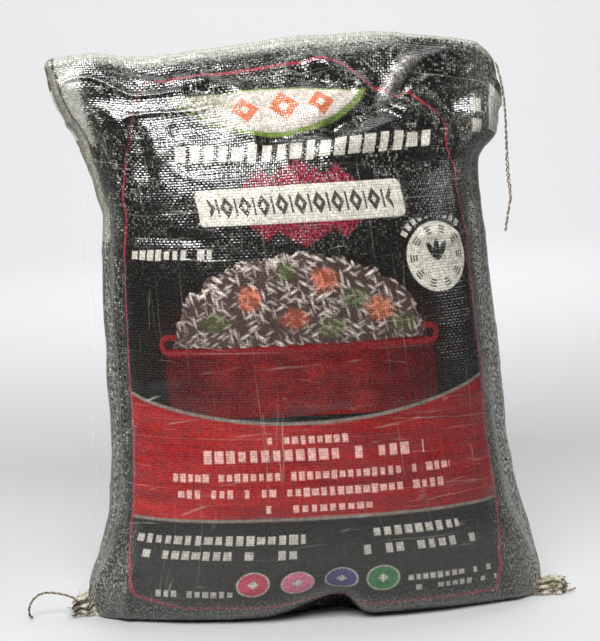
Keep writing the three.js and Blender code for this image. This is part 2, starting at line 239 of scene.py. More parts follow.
# The bottom seam's frayed ends. Knots are (share of the length, height).
LEFT_END = {
    "x": (-0.222, -0.259), "y": (-0.002, 0.0), "spread": 0.006, "layers": 7, "tapes": 9,
    "bottom": ((0, 0.0), (1, 0.001)),
    "top": (
        (0, 0.045), (0.3, 0.044), (0.42, 0.036), (0.5, 0.026), (0.62, 0.0225), (0.8, 0.02),
        (1, 0.0135),
    ),
}
RIGHT_END = {
    "x": (0.208, 0.2582), "y": (-0.012, -0.0085), "spread": 0.005, "layers": 7, "tapes": 9,
    "bottom": ((0, 0.001), (1, 0.0)),
    "top": ((0, 0.004), (0.3, 0.014), (0.55, 0.0195), (0.78, 0.021), (0.92, 0.0185), (1, 0.012)),
}


# Camera

def make_camera():
    back = Vector((0, -math.cos(CAMERA_ELEVATION), math.sin(CAMERA_ELEVATION)))
    level_right = Vector((1, 0, 0))
    level_up = back.cross(level_right)
    right = level_right * math.cos(CAMERA_ROLL) - level_up * math.sin(CAMERA_ROLL)
    up = level_right * math.sin(CAMERA_ROLL) + level_up * math.cos(CAMERA_ROLL)
    data = bpy.data.cameras.new("camera")
    data.sensor_width = SENSOR
    data.lens = FOCAL_PIXELS * SENSOR / max(IMAGE_WIDTH, IMAGE_HEIGHT)
    camera = bpy.data.objects.new("camera", data)
    turn = Matrix((right, up, back)).transposed().to_4x4()
    camera.matrix_world = Matrix.Translation(Vector(CAMERA_AIM) + back * CAMERA_DISTANCE) @ turn
    bpy.context.collection.objects.link(camera)
    bpy.context.scene.camera = camera


# Meshes

def add_mesh(name, vertices, faces, uvs=None):
    """A new smooth object at the origin. uvs holds (u, v) for each corner of each face."""
    mesh = bpy.data.meshes.new(name)
    mesh.from_pydata([tuple(v) for v in vertices], [], [tuple(f) for f in faces])
    if uvs is not None:
        layer = mesh.uv_layers.new(name="UVMap")
        layer.data.foreach_set("uv", np.asarray(uvs, dtype=np.float32).ravel())
    mesh.polygons.foreach_set("use_smooth", [True] * len(mesh.polygons))
    mesh.update()
    piece = bpy.data.objects.new(name, mesh)
    bpy.context.collection.objects.link(piece)
    return piece


def grid_faces(rows, columns, closed=False, first=0):
    """Quads over rows of vertices. A closed grid joins the end of each row to its start."""
    faces = []
    for row in range(rows - 1):
        low, high = first + row * columns, first + (row + 1) * columns
        for j in range(columns if closed else columns - 1):
            k = (j + 1) % columns
            faces.append((low + j, low + k, high + k, high + j))
    return faces


def curve_value(knots, at):
    """A smooth curve through (position, value) knots that never overshoots them."""
    x, y = np.array(knots, float).T
    slope = np.diff(y) / np.diff(x)
    tangent = np.zeros_like(y)
    tangent[0], tangent[-1] = slope[0], slope[-1]
    for i in range(1, len(x) - 1):
        if slope[i - 1] * slope[i] > 0:
            tangent[i] = 2 * slope[i - 1] * slope[i] / (slope[i - 1] + slope[i])
    at = np.clip(at, x[0], x[-1])
    i = np.clip(np.searchsorted(x, at, side="right") - 1, 0, len(x) - 2)
    span = x[i + 1] - x[i]
    s = (at - x[i]) / span
    start = (1 + 2 * s) * (1 - s) ** 2 * y[i] + s * (1 - s) ** 2 * span * tangent[i]
    end = s * s * (3 - 2 * s) * y[i + 1] + s * s * (s - 1) * span * tangent[i + 1]
    return start + end


def smooth_step(low, high, value):
    s = np.clip((value - low) / (high - low), 0, 1)
    return s * s * (3 - 2 * s)


def ripples(across, up, pitch_across, pitch_up, seed, period):
    """Smooth random heights from -1 to 1, with one random value for each pitch."""
    rng = np.random.default_rng(seed)
    columns = max(4, round(period / pitch_across))
    rows = int(math.ceil(0.85 / pitch_up)) + 2
    lattice = rng.uniform(-1, 1, (rows, columns))
    x = across / period * columns
    y = up / pitch_up
    i, j = np.floor(x).astype(int), np.clip(np.floor(y).astype(int), 0, rows - 2)
    fx, fy = x - i, np.clip(y - j, 0, 1)
    fx, fy = fx * fx * (3 - 2 * fx), fy * fy * (3 - 2 * fy)
    left, right = i % columns, (i + 1) % columns
    low = lattice[j, left] * (1 - fx) + lattice[j, right] * fx
    high = lattice[j + 1, left] * (1 - fx) + lattice[j + 1, right] * fx
    return low * (1 - fy) + high * fy


# The bag's form

def face_line(left, right, depth, left_half, right_half, power):
    across = np.sin(np.linspace(-math.pi / 2, math.pi / 2, 600))
    edge = left_half + (right_half - left_half) * (across + 1) / 2
    rise = np.clip(1 - np.abs(across) ** SECTION_POWER, 0, 1) ** (1 / power)
    x = (left + right) / 2 + (right - left) / 2 * across
    y = edge + (depth - edge) * rise
    length = np.concatenate([[0], np.cumsum(np.hypot(np.diff(x), np.diff(y)))])
    steps = np.linspace(0, length[-1], COLUMNS)
    return np.interp(steps, length, x), np.interp(steps, length, y)


def edge_line(front_x, back_x, half, outward):
    """The narrow side edge, from the front face's end to the back face's end."""
    along = np.linspace(-1, 1, EDGE_COLUMNS + 2)[1:-1]
    straight = front_x + (back_x - front_x) * (along + 1) / 2
    return straight + outward * EDGE_BULGE * half * (1 - along**2), along * half


def body_ring(height):
    """The bag's outline at a height, from the front's left side round to the right."""
    rolled = 0.0
    if height < ROLL_HEIGHT:
        rolled = 1 - math.sqrt(1 - (1 - height / ROLL_HEIGHT) ** 2)
    left, right, lap, front_depth, back_depth, *shape = (curve_value(knots, height) for knots in (
        LEFT_EDGE, RIGHT_EDGE, LEFT_LAP, FRONT_DEPTH, BACK_DEPTH,
        LEFT_EDGE_HALF, RIGHT_EDGE_HALF, ROUNDNESS,
    ))
    left_half, right_half, _ = shape
    left, right = left + ROLL_SIDES * rolled, right - ROLL_SIDES * rolled
    under = ROLL_UNDER * rolled
    front_x, front_y = face_line(left + lap, right, front_depth - under, *shape)
    back_x, back_y = face_line(left, right, back_depth - under, *shape)
    right_x, right_y = edge_line(right, right, right_half, 1)
    left_x, left_y = edge_line(left + lap, left, left_half, -1)
    x = np.concatenate([front_x, right_x, back_x[::-1], left_x[::-1]])
    y = np.concatenate([-front_y, right_y, back_y[::-1], left_y[::-1]])
    z = height + smooth_step(WAVE_START, SEAM_HEIGHT, height) * curve_value(TOP_WAVE, x)
    reach = np.where(x < TUCK_X, *TUCK_REACH)
    pull = np.exp(-(((x - TUCK_X) / reach) ** 2)) * max(0, 1 - height / TUCK_FADE) ** 2
    pull[COLUMNS:] = 0
    y = y + 1.2 * TUCK_LIFT * pull
    if height > 0:
        z = z + TUCK_LIFT * pull
    return np.stack([x, y, z], axis=1)


def fold_heights(folds, across, up):
    total = np.zeros_like(across)
    for start, end, width, height in folds:
        start, along = np.array(start), np.subtract(end, start)
        length_sq = max(along @ along, 1e-6)
        s = ((across - start[0]) * along[0] + (up - start[1]) * along[1]) / length_sq
        s = np.clip(s, 0, 1)
        off = np.hypot(across - start[0] - s * along[0], up - start[1] - s * along[1])
        total += height * np.exp(-((off / width) ** 2))
    return total


def surface_normals(rings):
    around = np.roll(rings, -1, axis=1) - np.roll(rings, 1, axis=1)
    upward = np.gradient(rings, axis=0)
    normals = np.cross(around, upward)
    return normals / np.maximum(np.linalg.norm(normals, axis=2, keepdims=True), 1e-9)


def seam_rings(top_ring):
    """The sewn top edge, turning over to the back and then running down behind."""
    rings = []
    thickness = np.clip(top_ring[:, 1], -SEAM_HALF, SEAM_HALF)
    radius = SEAM_FOLD_RADIUS - thickness
    for step in range(1, FOLD_ROWS + FLAP_ROWS + 1):
        turn = SEAM_FOLD_TURN * min(step / FOLD_ROWS, 1)
        down = SEAM_FLAP * max(0, step - FOLD_ROWS) / FLAP_ROWS
        ring = top_ring.copy()
        ring[:, 1] = SEAM_FOLD_RADIUS - radius * math.cos(turn) + down * math.sin(turn)
        ring[:, 2] += radius * math.sin(turn) + down * math.cos(turn)
        rings.append(ring)
    return np.array(rings)


def sack_form():
    """The bag's rings from the floor to the end of the flap, and where each point lies on
    the flat bag: girth runs from the front's left side round to the right, over the back."""
    t = np.linspace(0, 1, BODY_ROWS)
    heights = SEAM_HEIGHT * (0.5 * t + 0.25 * (1 - np.cos(math.pi * t)))
    body = np.array([body_ring(height) for height in heights])
    rings = np.concatenate([body, seam_rings(body[-1])])
    middle = rings[:, COLUMNS // 2]
    steps = np.linalg.norm(np.diff(middle, axis=0), axis=1)
    up = np.concatenate([[0], np.cumsum(steps)]) + BASE_UP
    face = np.linspace(0, FLAT_WIDTH, COLUMNS)
    edge_width = 2 * FLAT_WIDTH / (COLUMNS - 1) * (EDGE_COLUMNS + 1) / 2
    edge = np.linspace(0, edge_width, EDGE_COLUMNS + 2)[1:-1]
    girth = np.concatenate([
        face,
        FLAT_WIDTH + edge,
        FLAT_WIDTH + edge_width + face,
        2 * FLAT_WIDTH + edge_width + edge,
    ])
    girth, up = np.meshgrid(girth, up)
    return rings, girth, up, edge_width


def wrinkle_heights(girth, up, edge_width):
    """Every fold, crease and dent of the cloth, as a height along its normal."""
    whole = 2 * (FLAT_WIDTH + edge_width)
    back_start = FLAT_WIDTH + edge_width
    front = girth <= FLAT_WIDTH
    across = np.where(front, girth, girth - back_start) - FLAT_WIDTH / 2
    height = np.where(front, fold_heights(FRONT_FOLDS, across, up), 0)
    height += np.where(girth >= back_start, fold_heights(BACK_FOLDS, across, up), 0)

    shoulder = smooth_step(0.5, 0.62, up)
    side = smooth_step(0.17, 0.23, np.abs(across))
    bend = 0.02 * ripples(girth, up, 0.09, 0.07, 11, whole)
    broad = ripples(girth, up + bend, 0.11, 0.05, 1, whole)
    crumple = ripples(girth + bend, up + 0.4 * bend, 0.05, 0.026, 2, whole)
    crease = 1 - np.abs(ripples(girth + bend, up - bend, 0.045, 0.03, 3, whole))
    dents = ripples(girth, up, 0.018, 0.012, 4, whole)
    pucker = ripples(girth + 0.3 * bend, up, 0.009, 0.035, 5, whole)
    grain = ripples(girth, up, 0.007, 0.005, 6, whole)
    height += 0.0012 * broad
    height += (0.0004 + 0.0012 * shoulder) * crumple
    height += (0.0006 + 0.0022 * shoulder) * crease**5
    height += (0.00025 + 0.0003 * shoulder) * dents
    height += 0.0007 * side * pucker
    height += 0.00012 * grain
    height *= smooth_step(0.035, 0.075, up)
    return height


def close_strip(base, faces, corners, girth_row, up_value, bottom):
    """Faces across an open end of the bag, from the front's points to the back's."""
    last = 2 * COLUMNS + EDGE_COLUMNS - 1
    for column in range(COLUMNS - 1):
        a, b = column, column + 1
        quad = (a, last - a, last - b, b) if bottom else (a, b, last - b, last - a)
        faces.append([base + q for q in quad])
        corners.extend((girth_row[q if q < COLUMNS else last - q],
                        up_value if q < COLUMNS else up_value - 0.01) for q in quad)
    right = list(range(COLUMNS - 1, COLUMNS + EDGE_COLUMNS + 1))
    left = list(range(last, last + EDGE_COLUMNS + 1)) + [0]
    for side in (right, left):
        polygon = side[::-1] if bottom else side
        faces.append([base + q for q in polygon])
        corners.extend((girth_row[q], up_value) for q in polygon)


def make_skin():
    rings, girth, up, edge_width = sack_form()
    height = wrinkle_heights(girth, up, edge_width)
    flat = smooth_step(BODY_ROWS + 2, BODY_ROWS - 14, np.arange(len(rings)))[:, None]
    points = rings + surface_normals(rings) * (height * (0.25 + 0.75 * flat))[:, :, None]
    points[0, :, 2] = 0
    points[:, :, 2] = np.maximum(points[:, :, 2], 0)
    rows, count = girth.shape
    faces = grid_faces(rows, count, closed=True)
    left, low, high = girth[:-1], up[:-1], up[1:]
    right = np.roll(left, -1, axis=1)
    right[:, -1] = 2 * (FLAT_WIDTH + edge_width)
    corners = np.stack([left, low, right, low, right, high, left, high], -1).reshape(-1, 2).tolist()
    close_strip(0, faces, corners, girth[0], up[0, 0], True)
    close_strip((rows - 1) * count, faces, corners, girth[0], up[-1, 0], False)
    return add_mesh("sack_skin", points.reshape(-1, 3), faces, corners), points, edge_width


# Threads

def smooth_route(route, step):
    """Evenly spaced points on a Catmull-Rom curve through a route's points."""
    p = np.array(route)
    p = np.concatenate([[2 * p[0] - p[1]], p, [2 * p[-1] - p[-2]]])
    dense = []
    for i in range(1, len(p) - 2):
        for s in np.linspace(0, 1, 24, endpoint=False):
            dense.append(0.5 * (
                2 * p[i] + (p[i + 1] - p[i - 1]) * s
                + (2 * p[i - 1] - 5 * p[i] + 4 * p[i + 1] - p[i + 2]) * s**2
                + (3 * p[i] - p[i - 1] - 3 * p[i + 1] + p[i + 2]) * s**3
            ))
    dense.append(p[-2])
    dense = np.array(dense)
    length = np.concatenate([[0], np.cumsum(np.linalg.norm(np.diff(dense, axis=0), axis=1))])
    count = max(4, int(round(length[-1] / step)) + 1)
    at = np.linspace(0, length[-1], count)
    return np.stack([np.interp(at, length, dense[:, k]) for k in range(3)], axis=1), length[-1]


def frames_along(points):
    """A tangent and two sides that don't twist, at each point."""
    tangents = np.gradient(points, axis=0)
    tangents /= np.linalg.norm(tangents, axis=1, keepdims=True)
    side = np.cross(tangents[0], (0.3, 1, 0.2))
    side /= np.linalg.norm(side)
    sides = []
    for tangent in tangents:
        side = side - tangent * (side @ tangent)
        side /= np.linalg.norm(side)
        sides.append(side)
    sides = np.array(sides)
    return tangents, sides, np.cross(tangents, sides)


def tube_mesh(points, radii, sides):
    """A closed tube, as vertices and faces."""
    _, normal, binormal = frames_along(points)
    turn = (np.arange(sides) * 2 * math.pi / sides)[None, :, None]
    ring = np.cos(turn) * normal[:, None] + np.sin(turn) * binormal[:, None]
    vertices = (points[:, None] + ring * np.asarray(radii)[:, None, None]).reshape(-1, 3)
    faces = grid_faces(len(points), sides, closed=True)
    faces.append(tuple(range(sides - 1, -1, -1)))
    last = (len(points) - 1) * sides
    faces.append(tuple(range(last, last + sides)))
    return vertices, faces


def join_meshes(parts):
    """One list of vertices and one of faces from many."""
    vertices, faces, start = [], [], 0
    for part_vertices, part_faces in parts:
        vertices.extend(part_vertices)
        faces.extend([tuple(i + start for i in face) for face in part_faces])
        start += len(part_vertices)
    return vertices, faces


def twisted_thread(name, thread, strands, lay_length, opens, seed):
    """Strands laid round a route. opens is how far, in diameters, they part at each place."""
    rng = np.random.default_rng(seed)
    radius = thread["diameter"] / 2
    points, length = smooth_route(thread["route"], radius * 0.6)
    _, normal, binormal = frames_along(points)
    along = np.linspace(0, length, len(points))
    parts = []
    for strand in range(strands):
        phase = 2 * math.pi * (along / lay_length + strand / strands)
        phase += 0.5 * np.interp(along, np.linspace(0, length, 14), rng.uniform(-1, 1, 14))
        off = radius * 0.66 * (1 + curve_value(opens, along / length))
        centre = points + off[:, None] * (
            np.cos(phase)[:, None] * normal + np.sin(phase)[:, None] * binormal
        )
        uneven = np.interp(along, np.linspace(0, length, 40), rng.uniform(0.58, 0.74, 40))
        taper = np.clip(np.minimum(along, length - along) / (2 * radius) + 0.35, 0, 1)
        parts.append(tube_mesh(centre, radius * uneven * taper, 8))
    for _ in range(int(length / 0.006)):
        at = rng.integers(2, len(points) - 2)
        turn = rng.uniform(0, 2 * math.pi)
        outward = math.cos(turn) * normal[at] + math.sin(turn) * binormal[at]
        forward = points[min(at + 2, len(points) - 1)] - points[at - 2]
        forward /= np.linalg.norm(forward)
        reach = np.linspace(0, rng.uniform(0.5, 0.9) * radius, 4)[:, None]
        hair = points[at] + outward * (0.55 * radius + 0.5 * reach) + forward * 2.2 * reach
        parts.append(tube_mesh(hair, np.linspace(0.00007, 0.00003, 4), 4))
    vertices, faces = join_meshes(parts)
    piece = add_mesh(name, vertices, faces)
    strand_of = np.repeat(np.arange(len(parts)), [len(part_faces) for _, part_faces in parts])
    piece.data.materials.append(bpy.data.materials["thread_yarn_pale"])
    piece.data.materials.append(bpy.data.materials["thread_yarn_dark"])
    piece.data.polygons.foreach_set("material_index", (strand_of % 2).astype(np.int32))
    return piece, points, length


def make_threads():
    pieces = {}
    piece, points, length = twisted_thread(
        "loose_thread_top_right", TOP_THREAD, 2, 0.011,
        ((0, 0), (0.3, 0), (0.5, 0.3), (0.6, 0.9), (0.7, 0.9), (0.8, 0.3), (0.9, 0), (1, 0.4)), 21,
    )
    pieces["thread_top_right"] = piece
    piece, points, length = twisted_thread(
        "loose_thread_bottom_left", BOTTOM_THREAD, 2, 0.007, ((0, 0), (1, 0)), 22,
    )
    pieces["thread_bottom_left"] = piece
    piece, _, _ = twisted_thread(
        "loose_thread_bottom_right", CORNER_THREAD, 2, 0.005, ((0, 0), (1, 0)), 23,
    )
    pieces["thread_bottom_right"] = piece
    radius = SIDE_FILAMENT["diameter"] / 2
    points, length = smooth_route(SIDE_FILAMENT["route"], 0.0015)
    vertices, faces = tube_mesh(points, np.full(len(points), radius * 0.9), 6)
    piece = add_mesh("pulled_filament_left", vertices, faces)
    pieces["filament_left"] = piece
    for node, piece in pieces.items():
        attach(piece, "root")
        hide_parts(node)
    return pieces


# Frayed seam ends and hem stitches

def end_sheets(end, seed):
    """Pleated layers of bare weave, pressed together, with tapes fraying from their ends."""
    rng = np.random.default_rng(seed)
    parts = []
    steps, rows = 26, 15
    along, up = np.linspace(0, 1, steps), np.linspace(0, 1, rows)
    outward = np.sign(end["x"][1])
    for layer in range(end["layers"]):
        place = layer / (end["layers"] - 1) - 0.5
        reach = rng.uniform(0.82, 1.0)
        tall = rng.uniform(0.7, 1.0) if layer else 1.0
        phase, waves = rng.uniform(0, 6), rng.uniform(2.2, 3.6)
        s, h = np.meshgrid(along * reach, up)
        low = curve_value(end["bottom"], s)
        high = low + (curve_value(end["top"], s) - low) * tall
        ragged = np.interp(up, np.linspace(0, 1, 8), rng.uniform(-1, 1, 8))[:, None]
        x = end["x"][0] + (end["x"][1] - end["x"][0]) * s + outward * 0.0022 * ragged * s**3
        y = end["y"][0] + (end["y"][1] - end["y"][0]) * s
        y = y + 2 * place * end["spread"] * (0.25 + 0.75 * s)
        pleat = np.sin(2 * math.pi * waves * h + phase) + 0.4 * np.sin(15 * h + 5 * s + phase)
        y = y + 0.0024 * (0.3 + s) * pleat + 0.0012 * np.sin(17 * s + 2.5 * phase)
        z = np.maximum(low + (high - low) * h + 0.0008 * np.sin(9 * s + phase), 0.0003)
        vertices = np.stack([x, y, z], axis=-1)
        parts.append((vertices.reshape(-1, 3), grid_faces(rows, steps)))
        edge, rim = vertices[:, -1], vertices[-1, 3:]
        for _ in range(end["tapes"]):
            if rng.uniform() < 0.7:
                root = edge[rng.integers(0, rows)]
                heading = (outward, rng.uniform(-0.5, 0.3), rng.uniform(-0.5, 0.7))
            else:
                root = rim[rng.integers(0, len(rim))]
                heading = (rng.uniform(-0.5, 0.8) * outward, rng.uniform(-0.6, 0.4), 0.7)
            parts.append(loose_tape(rng, root, np.array(heading)))
    return parts


def loose_tape(rng, root, heading):
    """A short curling strip of tape."""
    length = rng.uniform(0.0015, 0.0055) if rng.uniform() < 0.85 else rng.uniform(0.005, 0.009)
    width = rng.uniform(0.0004, 0.0011)
    heading = heading / np.linalg.norm(heading)
    across = np.cross(heading, rng.uniform(-1, 1, 3))
    across /= np.linalg.norm(across)
    bend = rng.uniform(-0.5, 0.5, 3)
    vertices = []
    for step in range(5):
        t = step / 4
        middle = root + heading * length * (t - 0.15) + bend * length * 0.5 * t * t
        middle[2] = max(middle[2], 0.0004)
        half = across * width * 0.5 * (1 - 0.5 * t)
        vertices.extend((middle - half, middle + half))
    return vertices, grid_faces(5, 2)


def make_seam_ends():
    pieces = []
    for name, end, seed in (("seam_end_left", LEFT_END, 31), ("seam_end_right", RIGHT_END, 32)):
        vertices, faces = join_meshes(end_sheets(end, seed))
        vertices = [(x, y, max(z, 0.0002)) for x, y, z in vertices]
        pieces.append(add_mesh(name, vertices, faces))
    return pieces


def make_stitches(points):
    """A row of lockstitches through the folded top edge, on the flap behind the bag."""
    row = points[BODY_ROWS + FOLD_ROWS + 4]
    below = points[BODY_ROWS + FOLD_ROWS + 5]
    parts = []
    for column in range(3, COLUMNS - 4, 2):
        start, end = row[column], row[column] + 0.78 * (row[column + 2] - row[column])
        outward = np.cross(row[column + 2] - row[column], below[column] - row[column])
        outward = -outward / np.linalg.norm(outward)
        t = np.linspace(0, 1, 6)[:, None]
        path = start + (end - start) * t + outward * (0.0011 * np.sin(math.pi * t) - 0.0002)
        parts.append(tube_mesh(path, np.full(6, 0.00055), 7))
    vertices, faces = join_meshes(parts)
    return add_mesh("hem_stitches", vertices, faces)


# Node graphs

def operation(name):
    """A Field's method for one operation of the math node."""
    return lambda self, *others: self.math(name, *others)


class Field:
    """One number that varies over a surface: the output of a shader node."""

    def __init__(self, socket):
        self.socket, self.tree = socket, socket.id_data

    def math(self, operation, *others):
        return Field(add_node(self.tree, "Math", (self, *others), operation=operation).outputs[0])

    def spread(self, low, high, to_low=0.0, to_high=1.0, curve="LINEAR"):
        """The field with low to high mapped to another range, and kept within it."""
        inputs = (self, low, high, to_low, to_high)
        return Field(add_node(self.tree, "MapRange", inputs, interpolation_type=curve).outputs[0])

    def __rsub__(self, other):
        return self * -1.0 + other

    def __rtruediv__(self, other):
        return self.math("POWER", -1.0) * other

    __add__, __sub__ = operation("ADD"), operation("SUBTRACT")
    __mul__, __truediv__ = operation("MULTIPLY"), operation("DIVIDE")
    least, most = operation("MINIMUM"), operation("MAXIMUM")
    above, __abs__ = operation("GREATER_THAN"), operation("ABSOLUTE")
    floor, part = operation("FLOOR"), operation("FRACT")
    sine, root, exp = operation("SINE"), operation("SQRT"), operation("EXPONENT")


def linear(code):
    """Linear colour from a six-digit screen colour."""
    channels = [int(code[i:i + 2], 16) / 255 for i in (0, 2, 4)]
    return [c / 12.92 if c <= 0.04045 else ((c + 0.055) / 1.055) ** 2.4 for c in channels] + [1]


def feed(inlet, value):
    """Link a field or an outlet to an inlet, or set it to a number or a screen colour."""
    if isinstance(value, Field):
        value = value.socket
    if hasattr(value, "is_output"):
        inlet.id_data.links.new(value, inlet)
    else:
        inlet.default_value = linear(value) if isinstance(value, str) else value


def add_node(tree, kind, inputs=(), **settings):
    """A new shader node. inputs are values in the inlets' order, or by their names."""
    node = tree.nodes.new("ShaderNode" + kind)
    for name, value in settings.items():
        setattr(node, name, value)
    for key, value in inputs.items() if isinstance(inputs, dict) else enumerate(inputs):
        feed(node.inputs[key], value)
    return node


def new_material(name):
    material = bpy.data.materials.new(name)
    material.use_nodes = True
    return material, material.node_tree.nodes["Principled BSDF"]


def add_relief(shader, height, strength, distance, normal=None):
    """Bump on the shader's surface, or on a normal that varies already."""
    inputs = {"Strength": strength, "Distance": distance, "Height": height}
    bump = add_node(shader.id_data, "Bump", inputs)
    if normal is not None:
        feed(bump.inputs["Normal"], normal)
    feed(shader.inputs["Normal"], bump.outputs[0])


def combine(x, y, z=0.0):
    return add_node(x.tree, "CombineXYZ", (x, y, z)).outputs[0]


def separate(vector):
    return [Field(outlet) for outlet in add_node(vector.id_data, "SeparateXYZ", (vector,)).outputs]


def noise(vector, scale, detail=2.0, roughness=0.5, distortion=0.0):
    inputs = {
        "Vector": vector, "Scale": scale, "Detail": detail,
        "Roughness": roughness, "Distortion": distortion,
    }
    return Field(add_node(vector.id_data, "TexNoise", inputs).outputs[0])


def mottle(x, y, z=0.0, detail=2.0, roughness=0.5):
    """Noise with about one blotch to each unit of x and y."""
    return noise(combine(x, y, z), 1.0, detail, roughness)


def white_noise(vector):
    """Three random fields from 0 to 1 for each distinct vector."""
    node = add_node(vector.id_data, "TexWhiteNoise", {"Vector": vector}, noise_dimensions="3D")
    split = add_node(vector.id_data, "SeparateColor", (node.outputs["Color"],))
    return [Field(outlet) for outlet in split.outputs]


def cells(vector, feature="F1"):
    """The outlets of a node of random cells, about one to each unit."""
    inputs = {"Scale": 1.0, "Vector": vector}
    return add_node(vector.id_data, "TexVoronoi", inputs, feature=feature).outputs


def cell_edges(vector, width):
    distance = Field(cells(vector, "DISTANCE_TO_EDGE")["Distance"])
    return distance.spread(0.0, width, 1.0, 0.0)


def mix_colour(factor, first, second):
    """From the first colour to the second, each an outlet or a screen colour."""
    inputs = {0: factor, 6: first, 7: second}
    return add_node(factor.tree, "Mix", inputs, data_type="RGBA").outputs[2]


def layered(colour, *layers):
    """A colour with others laid over it, each as (coverage, colour)."""
    for coverage, over in layers:
        colour = mix_colour(coverage, colour, over)
    return colour


# The print. Shapes are signed distances, negative inside.

def box(u, v, cu, cv, hu, hv, radius=0.0):
    x = abs(u - cu) - (hu - radius)
    y = abs(v - cv) - (hv - radius)
    outer = (x.most(0) * x.most(0) + y.most(0) * y.most(0)).root()
    return outer + x.most(y).least(0) - radius


def ellipse(u, v, cu, cv, ru, rv):
    x, y = (u - cu) / ru, (v - cv) / rv
    return ((x * x + y * y).root() - 1) * min(ru, rv)


def lozenge(u, v, cu, cv, ru, rv):
    return (abs(u - cu) / ru + abs(v - cv) / rv - 1) * (0.7 * min(ru, rv))


def inside(distance, soft=0.0007):
    return distance.spread(-soft, soft, 1.0, 0.0)


def outlined(distance, width):
    """Distance to a line of that width drawn along a shape's edge, inside it."""
    return abs(distance + width / 2) - width / 2


def bell(x):
    return (x * x * -1.0).exp()


def turned(x, y, turn):
    return x * math.cos(turn) - y * math.sin(turn), x * math.sin(turn) + y * math.cos(turn)


class Print:
    """The printed colour of a panel, painted in layers."""

    def __init__(self, u, v, ground):
        self.u, self.v, self.colour = u, v, ground

    def paint(self, coverage, colour):
        self.colour = mix_colour(coverage, self.colour, colour)

    def shape(self, distance, colour):
        self.paint(inside(distance), colour)

    def marks(self, left, right, centre, height, pitch, seed, colour, bow=0.0, strength=0.9):
        """A row of short plain marks of uneven width, with a gap here and there."""
        across = self.u - (left + right) / 2
        v = self.v - centre - across * across * bow
        cell = (self.u - left) / pitch
        chance, width, tall = white_noise(combine(cell.floor(), seed))
        x = abs(cell.part() - 0.5) - width.spread(0, 1, 0.26, 0.42)
        y = abs(v) - tall.spread(0, 1, 0.36 * height, 0.5 * height)
        mark = inside((x * pitch).most(y), 0.0005)
        window = inside(abs(across) - (right - left) / 2, 0.0005)
        self.paint(mark * window * chance.above(0.14) * strength, colour)


def border_place(u, v):
    """The border's own coordinates, drawn in where folds at the shoulder take up cloth."""
    gather = v.spread(0.47, 0.65)
    neck = bell((v - 0.552) / 0.016) * 0.005 - bell((v - 0.526) / 0.016) * 0.006
    narrowed = u / (gather * gather * -0.3 + 1) + neck * u.above(0.1)
    left_foot = v.spread(0.168, 0.135, 0.0, 0.055) + v.spread(0.135, 0.1, 0.0, 0.1)
    right_foot = v.spread(0.18, 0.135, 0.0, 0.09) + v.spread(0.135, 0.1, 0.0, 0.047)
    narrowed = narrowed * (left_foot + (right_foot - left_foot) * u.above(0) + 1)
    hem = u.spread(-0.13, -0.195, 0.0115, -0.009) * v.spread(0.15, 0.11)
    sunk = bell((u - 0.115) / 0.026) * 0.034
    return narrowed, v + sunk * v.spread(0.5, 0.58) + hem


def print_ground(u, v):
    """Black all over the panel, bare tape beyond its top edge and at the bag's sides, painted
    reflection streaked on the flanks, the left side strip painted in shade and a painted shadow
    along its crease.
    """
    ragged = mottle(u * 9, v * 9) * 0.014
    broken = (mottle(u * 300, v * 300, 0.0, 3.0, 0.7) - 0.5) * 0.034
    top = 0.676 - v - ragged + u.spread(0.12, 0.17, 0.0, 0.007)
    side = u + 0.233 - (v - 0.6) * 0.2
    bare = inside(top.least(side.most(0.57 - v)) + broken, 0.004)
    # Painted reflection: pale grey streaks on the flanks beyond the border, stronger on the right
    # and fainter up high.
    streaks = mottle(u * 480, v * 260, 0.0, 3.0, 0.75).spread(0.45, 0.66)
    flank_reflection = (abs(u + 0.001) - 0.212).spread(0.0, 0.012) * streaks
    flank_reflection = flank_reflection * v.spread(0.5, 0.56, 0.5, 0.15) * u.spread(-0.05, 0.05, 0.35, 1.0)
    ear = inside((0.247 - u).most(abs(v - 0.607) - 0.032), 0.001)
    # Painted shade: the left side strip is bare tape coloured darker olive grey, as it lies in
    # shade.
    strip = inside((u + 0.2505).most(0.462 - v), 0.0008)
    # Painted shadow: a dark line along the crease between the side strip and the front.
    crease = inside((abs(u + 0.2487) - 0.0018).most(0.47 - v), 0.001)
    return layered(
        BLACK_INK, (flank_reflection, "8e8d84"), (bare, BARE_TAPE), (ear, "bcbcb4"),
        (strip, SHADED_SIDE_STRIP), (crease * 0.9, "14120f"),
    )


def paint_border(sheet):
    """A thin red line round the panel, cut off at its top right by a fold."""
    u, v = border_place(sheet.u, sheet.v)
    edge = box(u, v, PANEL_MIDDLE, 0.3725, PANEL_HALF, 0.2755, 0.003)
    edge = edge.most(v + sheet.u.spread(0.118, 0.14, 0.0, 0.027) - 0.648)
    edge = edge.most((sheet.u - 0.151) * 0.625 + (sheet.v - 0.616) * 0.78)
    line = inside(outlined(edge, v.spread(0.17, 0.11, 0.0034, 0.0052)))
    gaps = mottle(sheet.u * 300, sheet.v * 300, 4.0, 2.0, 0.7).spread(0.36, 0.5, 0.45, 1.0)
    rubbed = sheet.u.spread(-0.1, -0.15) * sheet.v.spread(0.53, 0.56)
    sheet.paint(line * (gaps - rubbed * 0.65).most(0), RED_BORDER)


def paint_burst(sheet):
    """A red burst behind the label, broken by the weave."""
    u, v = sheet.u, sheet.v
    burst = lozenge(u, v, 0.014, 0.499, 0.085, 0.043)
    for place in (-0.03, 0.06):
        burst = burst.least(lozenge(u, v, place, 0.499, 0.045, 0.036))
    gaps = mottle(u * 320, v * 340, 6.0, 2.0, 0.7).spread(0.43, 0.56, 0.05, 1.0)
    sheet.paint(inside(burst, 0.002) * gaps * 0.9, "96203a")


